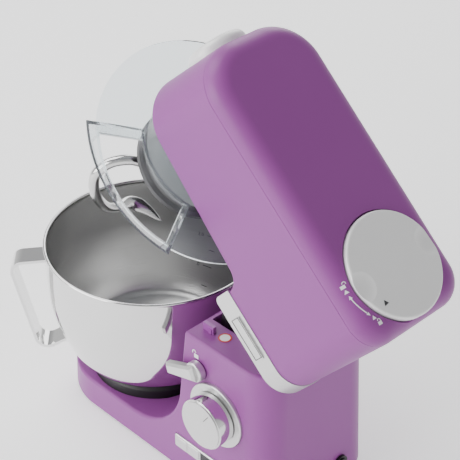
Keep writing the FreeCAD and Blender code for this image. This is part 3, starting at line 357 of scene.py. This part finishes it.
# ------------------------------------------------------------------ column controls
# A polished knob with a satin face on a silver plate, a lever, four keys and a dark window.
satin, satin_tree, satin_shader = new_material("satin_silver", {"Metallic": 0.85})
grained(satin_tree, satin_shader, 1400, 0.05, rough=(0.26, 0.36))
toned(satin_tree, satin_shader, "#D4D4D3", "#DDDDDC", 25)
chrome, chrome_tree, chrome_shader = new_material("bright_chrome", {"Metallic": 1})
grained(chrome_tree, chrome_shader, 120, 0.01, rough=(0.05, 0.1))
toned(chrome_tree, chrome_shader, "#D8D8D8", "#E0E0E0", 30)
window, window_tree, window_shader = new_material("dark_window", {"IOR": 1.5})
grained(window_tree, window_shader, 300, 0.01, rough=(0.06, 0.1))
toned(window_tree, window_shader, "#0B0B0E", "#101014", 30)
finish(satin, "knob_escutcheon", "knob_face", "control_frame", "release_lever", "button_1", "button_2",
       "button_3", "button_4")
finish(chrome, "speed_knob")
finish(window, "display_window")


# ------------------------------------------------------------------ prints on the controls
# A short engraved index on the knob, a pale padlock over the lever and a plain red-ringed spot.
def plate(name, outlines, place, material, body, thick=0.00012):
    """Thin closed plates; an outline is a loop of flat points and place(u, v) gives point and normal."""
    points, faces = [], []
    for outline in outlines:
        spots = [place(u, v) for u, v in outline]
        base, count = len(points), len(spots)
        points += [tuple(p - n * thick) for p, n in spots] + [tuple(p + n * thick) for p, n in spots]
        faces.append([base + i for i in range(count)][::-1])
        faces.append([base + count + i for i in range(count)])
        faces += [(base + i, base + (i + 1) % count, base + count + (i + 1) % count, base + count + i)
                  for i in range(count)]
    piece = mesh_piece(name, points, faces, material, body, smooth=False)
    return piece


def on_side(x, z, y):
    """A place map on the machine's left: u runs to the front and v up from (x, z) at depth y."""
    return lambda u, v: (at(x + u, y, z + v), Vector((0, 1, 0)))


def ring_parts(radius, gauge, start=0.0, end=360.0, steps=36, middle=(0.0, 0.0)):
    """Four-cornered pieces of a flat ring or arc."""
    turns = np.radians(np.linspace(start, end, steps + 1))
    near, far = ([(middle[0] + r * math.cos(t), middle[1] + r * math.sin(t)) for t in turns]
                 for r in (radius - gauge / 2, radius + gauge / 2))
    return [[near[i], far[i], far[i + 1], near[i + 1]] for i in range(steps)]


def padlock(opened):
    """A small padlock sign: a square body and a shackle, swung aside when opened."""
    shift = 1.5 if opened else 0.0
    return ([[(-1.5, -2.2), (1.5, -2.2), (1.5, 0.2), (-1.5, 0.2)]]
            + ring_parts(1.1, 0.5, 0, 180, 12, middle=(shift, 1.0))
            + [[(0.85 + shift, 0.1), (1.35 + shift, 0.1), (1.35 + shift, 1.0), (0.85 + shift, 1.0)]])


def enlarged(outlines, factor):
    """The same flat outlines, scaled about their own middle."""
    return [[(factor * u, factor * v) for u, v in outline] for outline in outlines]


white_print, print_tree, print_shader = new_material("white_print", {"IOR": 1.45})
grained(print_tree, print_shader, 2000, 0.03, rough=(0.45, 0.55))
toned(print_tree, print_shader, "#EFEDF0", "#F7F6F8", 60)
red_print, red_tree, red_shader = new_material("red_print", {"IOR": 1.45})
grained(red_tree, red_shader, 2000, 0.03, rough=(0.4, 0.5))
toned(red_tree, red_shader, "#C3321F", "#CE3A26", 60)
face_top = (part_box("knob_face")[1].y - BOWL_AXIS.y) / MM
KNOB_X, KNOB_LEVEL = -168, 105
INDEX_TURN = math.radians(125)
INDEX_NEAR, INDEX_FAR, INDEX_HALF = 10, 21, 0.35


def on_index(along, across):
    """A point of the index line from its place along and across the line."""
    return (along * math.cos(INDEX_TURN) - across * math.sin(INDEX_TURN),
            along * math.sin(INDEX_TURN) + across * math.cos(INDEX_TURN))


index_line = [[on_index(INDEX_NEAR, -INDEX_HALF), on_index(INDEX_NEAR, INDEX_HALF),
               on_index(INDEX_FAR, INDEX_HALF), on_index(INDEX_FAR, -INDEX_HALF)]]
plate("knob_index", index_line, on_side(KNOB_X, KNOB_LEVEL, face_top + 0.05),
      etched, "speed_knob")
casing_tree = BVHTree.FromObject(nodes["base_casing"], bpy.context.evaluated_depsgraph_get())


def on_casing(u, v):
    """The place and normal on the column's left side, just above the lever."""
    spot, normal, _, _ = casing_tree.ray_cast(at(-140 + u, 200, 161 + v), Vector((0, -1, 0)))
    return spot + normal * 0.0001, normal


plate("lever_sign", enlarged(padlock(True), 1.9), on_casing, white_print, "base")


def on_column_top(level):
    """A place map for the spot on the column's top, at a level."""
    return lambda u, v: (at(-157 + u, 51 + v, level), Vector((0, 0, 1)))


SPOT_RADIUS = 6.3
spot_turns = np.linspace(0, 2 * math.pi, 40)[:-1]
spot_outline = [(SPOT_RADIUS * math.cos(t), SPOT_RADIUS * math.sin(t)) for t in spot_turns]
plate("spot_ground", [spot_outline], on_column_top(179.1), white_print, "base")
plate("spot_ring", ring_parts(5.9, 1.5), on_column_top(179.25), red_print, "base")


# ------------------------------------------------------------------ interlock tab
# The violet plastic tongue that tells the machine its head is down.
violet_plastic, violet_tree, violet_shader = new_material("violet_plastic", {"IOR": 1.5})
grained(violet_tree, violet_shader, 1200, 0.05, rough=(0.28, 0.36))
toned(violet_tree, violet_shader, "#95489A", "#9C4FA0", 30)
finish(violet_plastic, "interlock_tab")


# ------------------------------------------------------------------ head shells and trim
# Two violet mouldings that part along a fine line, over a satin silver band.
finish(paint, "head_housing", "head_cover")
dial_silver, dial_tree, dial_shader = new_material("silver_lacquer", {"Metallic": 0.1})
grained(dial_tree, dial_shader, 1600, 0.04, rough=(0.3, 0.38))
toned(dial_tree, dial_shader, "#ECECEB", "#F2F2F1", 20)
finish(dial_silver, "outlet_dial", "front_outlet_cover")
finish(satin, "trim_band", "blank_plate")


# ------------------------------------------------------------------ prints on the head
# White signs beside the dial show which way it unlocks; a dark line frames the blank name plate.
tilt = joints["head_tilt"]
hinge = Vector(tilt["pos_m"])
swing = Matrix.Rotation(-math.radians(tilt["range_deg"][1]), 3, "Y")


def on_head(x, y, z):
    """A place on the open head from where it lies on the shut one."""
    return hinge + swing @ (at(x, y, z) - hinge)


DIAL_X = -179
cover_tree = BVHTree.FromObject(nodes["head_cover"], bpy.context.evaluated_depsgraph_get())


def on_cover(x, y):
    """The place and normal found by dropping straight down on the shut head's cover."""
    spot, normal, _, _ = cover_tree.ray_cast(on_head(x, y, 360), swing @ Vector((0, 0, -1)))
    return spot + normal * 0.00008, normal


def by_dial(turn, radius):
    """A place map for a small sign beside the dial, upright towards the front of the head."""
    x = DIAL_X + radius * math.cos(math.radians(turn))
    y = radius * math.sin(math.radians(turn))
    return lambda u, v: on_cover(x + v, y - u)


def round_dial(u, v):
    """A place on the cover from an angle in degrees and a distance from the dial's middle."""
    return on_cover(DIAL_X + v * math.cos(math.radians(u)), v * math.sin(math.radians(u)))


SIGN_RADIUS = 56.5
near_line, far_line = SIGN_RADIUS - 0.4, SIGN_RADIUS + 0.4
near_barb, far_barb = SIGN_RADIUS - 1.4, SIGN_RADIUS + 1.4
ARROW_STEP = 1.5
arrow = [[(t, near_line), (t, far_line), (t + ARROW_STEP, far_line), (t + ARROW_STEP, near_line)]
         for t in np.arange(96.5, 114.5, ARROW_STEP)]
arrow += [[(93.5, SIGN_RADIUS), (96.7, far_barb), (96.7, near_barb)],
          [(118, SIGN_RADIUS), (114.8, near_barb), (114.8, far_barb)]]
plate("turn_arrow", arrow, round_dial, white_print, "head")
for name, turn in (("open", 89.5), ("shut", 121.5)):
    plate("pointer_" + name, [[(-1.9, -1.5), (1.9, -1.5), (0, 2.0)]], by_dial(turn, SIGN_RADIUS),
          white_print, "head")
for name, turn in (("open", 83.5), ("shut", 127.5)):
    plate("padlock_" + name, enlarged(padlock(name == "open"), 1.25), by_dial(turn, SIGN_RADIUS + 0.6),
          white_print, "head")
POINTER_LEVEL = 339.6


def on_dial(u, v):
    """The place and normal of the pointer, turned to point out at the signs."""
    return (on_head(-204 - u * 0.8 - v * 0.6, 33 - u * 0.6 + v * 0.8, POINTER_LEVEL),
            swing @ Vector((0, 0, 1)))


plate("dial_pointer", [[(-2.6, -2.2), (0.0, 2.6), (2.6, -2.2)]], on_dial,
      etched, "outlet_dial")
plate_y = (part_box("blank_plate")[1].y - BOWL_AXIS.y) / MM
OUTER_U, INNER_U, OUTER_V, INNER_V = 21, 20.3, 5.6, 4.9
frame_sides = [(-OUTER_U, OUTER_U, -OUTER_V, -INNER_V), (-OUTER_U, OUTER_U, INNER_V, OUTER_V),
               (-OUTER_U, -INNER_U, -OUTER_V, OUTER_V), (INNER_U, OUTER_U, -OUTER_V, OUTER_V)]
frame_bars = [[(u0, v0), (u1, v0), (u1, v1), (u0, v1)] for u0, u1, v0, v1 in frame_sides]


def on_plate(u, v):
    """The place and normal on the name plate from its middle."""
    return on_head(-169.5 + u, plate_y + 0.1, 192.5 + v), Vector((0, 1, 0))


plate("plate_outline", frame_bars, on_plate, etched, "head")


# ------------------------------------------------------------------ hub, hook and guard
# A turned aluminium hub, a polished cast hook and a clear splash guard with its pouring chute. The
# hook's bar is swept along its line and flattens to a pointed blade; a short socket holds its top.
cast, cast_tree, cast_shader = new_material("turned_casting", {"Metallic": 1})
grained(cast_tree, cast_shader, 500, 0.1, rough=(0.3, 0.42))
toned(cast_tree, cast_shader, "#4E4E50", "#606062", 25)
finish(cast, "planet_hub")
hook_metal, hook_tree, hook_shader = new_material("polished_casting", {"Metallic": 1})
grained(hook_tree, hook_shader, 200, 0.04, rough=(0.14, 0.22))
toned(hook_tree, hook_shader, "#C6C6C6", "#D2D2D1", 25)
HOOK_LINE = [(14.1, 26.5, 150), (16, 29, 146), (31, 48, 143), (38, 62, 132), (37, 71, 117), (28, 71, 100),
             (17, 64, 85), (8, 53, 75), (5, 38, 69), (4, 22, 65), (-9, 10, 64), (-27, 3, 66)]
BROAD_FACE = (-0.06, 0.57, 0.82)
along_hook = smooth_profile(HOOK_LINE, 160)
heading_way = np.gradient(along_hook, axis=0)
heading_way /= np.linalg.norm(heading_way, axis=1)[:, None]
wide_way = np.cross(heading_way, BROAD_FACE)
wide_way /= np.linalg.norm(wide_way, axis=1)[:, None]
thin_way = np.cross(wide_way, heading_way)
share = np.linspace(0, 1, len(along_hook))
half_wide = np.interp(share, [0, 0.72, 0.86, 0.97, 1], [5.1, 5.1, 7.4, 2.6, 0.05])
half_thin = np.interp(share, [0, 0.7, 0.84, 0.99, 1], [5.1, 5.0, 2.0, 1.2, 0.05])
around_bar = np.linspace(0, 2 * math.pi, 40, endpoint=False)
bar = (along_hook[:, None] + (half_wide[:, None] * np.cos(around_bar))[..., None] * wide_way[:, None]
       + (half_thin[:, None] * np.sin(around_bar))[..., None] * thin_way[:, None]).reshape(-1, 3)
swing_rows = np.array(swing)


def swung(points):
    """Millimetre points of the shut head as metres on the open one."""
    metres = np.asarray(points, float) * MM + np.array(BOWL_AXIS)
    return (metres - np.array(hinge)) @ swing_rows.T + np.array(hinge)


def tube_faces(rows, around):
    """Quads over a grid of closed rings, with a face over each end."""
    ends = [list(range(around))[::-1], list(range((rows - 1) * around, rows * around))]
    return ring_quads(rows, around).tolist() + ends


bar_faces = tube_faces(len(along_hook), len(around_bar))
hook_bar = mesh_piece("hook_bar", swung(bar), bar_faces, hook_metal, "tool")
socket_outline = np.array([(5.2, 158), (8.4, 158), (9, 157.4), (9, 138.6), (8.4, 138), (5.2, 138)])
SOCKET_SIDES = 96
ORBIT_RADIUS, ORBIT_TURN = 30, math.radians(62)
turns = np.linspace(0, 2 * math.pi, SOCKET_SIDES, endpoint=False)
orbit = ORBIT_RADIUS * np.array([math.cos(ORBIT_TURN), math.sin(ORBIT_TURN)])
socket_radius, socket_level = socket_outline[:, :1], socket_outline[:, 1:]
socket_rings = np.stack([orbit[0] + socket_radius * np.cos(turns), orbit[1] + socket_radius * np.sin(turns),
                         socket_level + 0 * turns], axis=-1).reshape(-1, 3)
socket_faces = tube_faces(len(socket_outline), SOCKET_SIDES)
hook_socket = mesh_piece("hook_socket", swung(socket_rings), socket_faces, hook_metal, "tool")
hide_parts("dough_hook")
clear, clear_tree, clear_shader = new_material(
    "clear_plastic", {"Transmission Weight": 0.94, "IOR": 1.2, "Base Color": srgb("#F4FAFC")})
grained(clear_tree, clear_shader, 300, 0.01, rough=(0.0, 0.03))
finish(clear, "splash_guard", "pouring_chute")


# ------------------------------------------------------------------ inner parts
# Moulded gears and two circuit boards, hidden inside the shells.
acetal, acetal_tree, acetal_shader = new_material("natural_acetal", {"IOR": 1.48})
grained(acetal_tree, acetal_shader, 900, 0.04, rough=(0.35, 0.45))
toned(acetal_tree, acetal_shader, "#E9E7DC", "#F0EEE5", 20)
board, board_tree, board_shader = new_material("circuit_board", {"IOR": 1.5})
grained(board_tree, board_shader, 600, 0.1, rough=(0.3, 0.4))
toned(board_tree, board_shader, "#12492B", "#175634", 60)
finish(acetal, "ring_gear", "planet_pinion", "large_pulley", "tool_bushes")
finish(board, "control_board", "power_board")
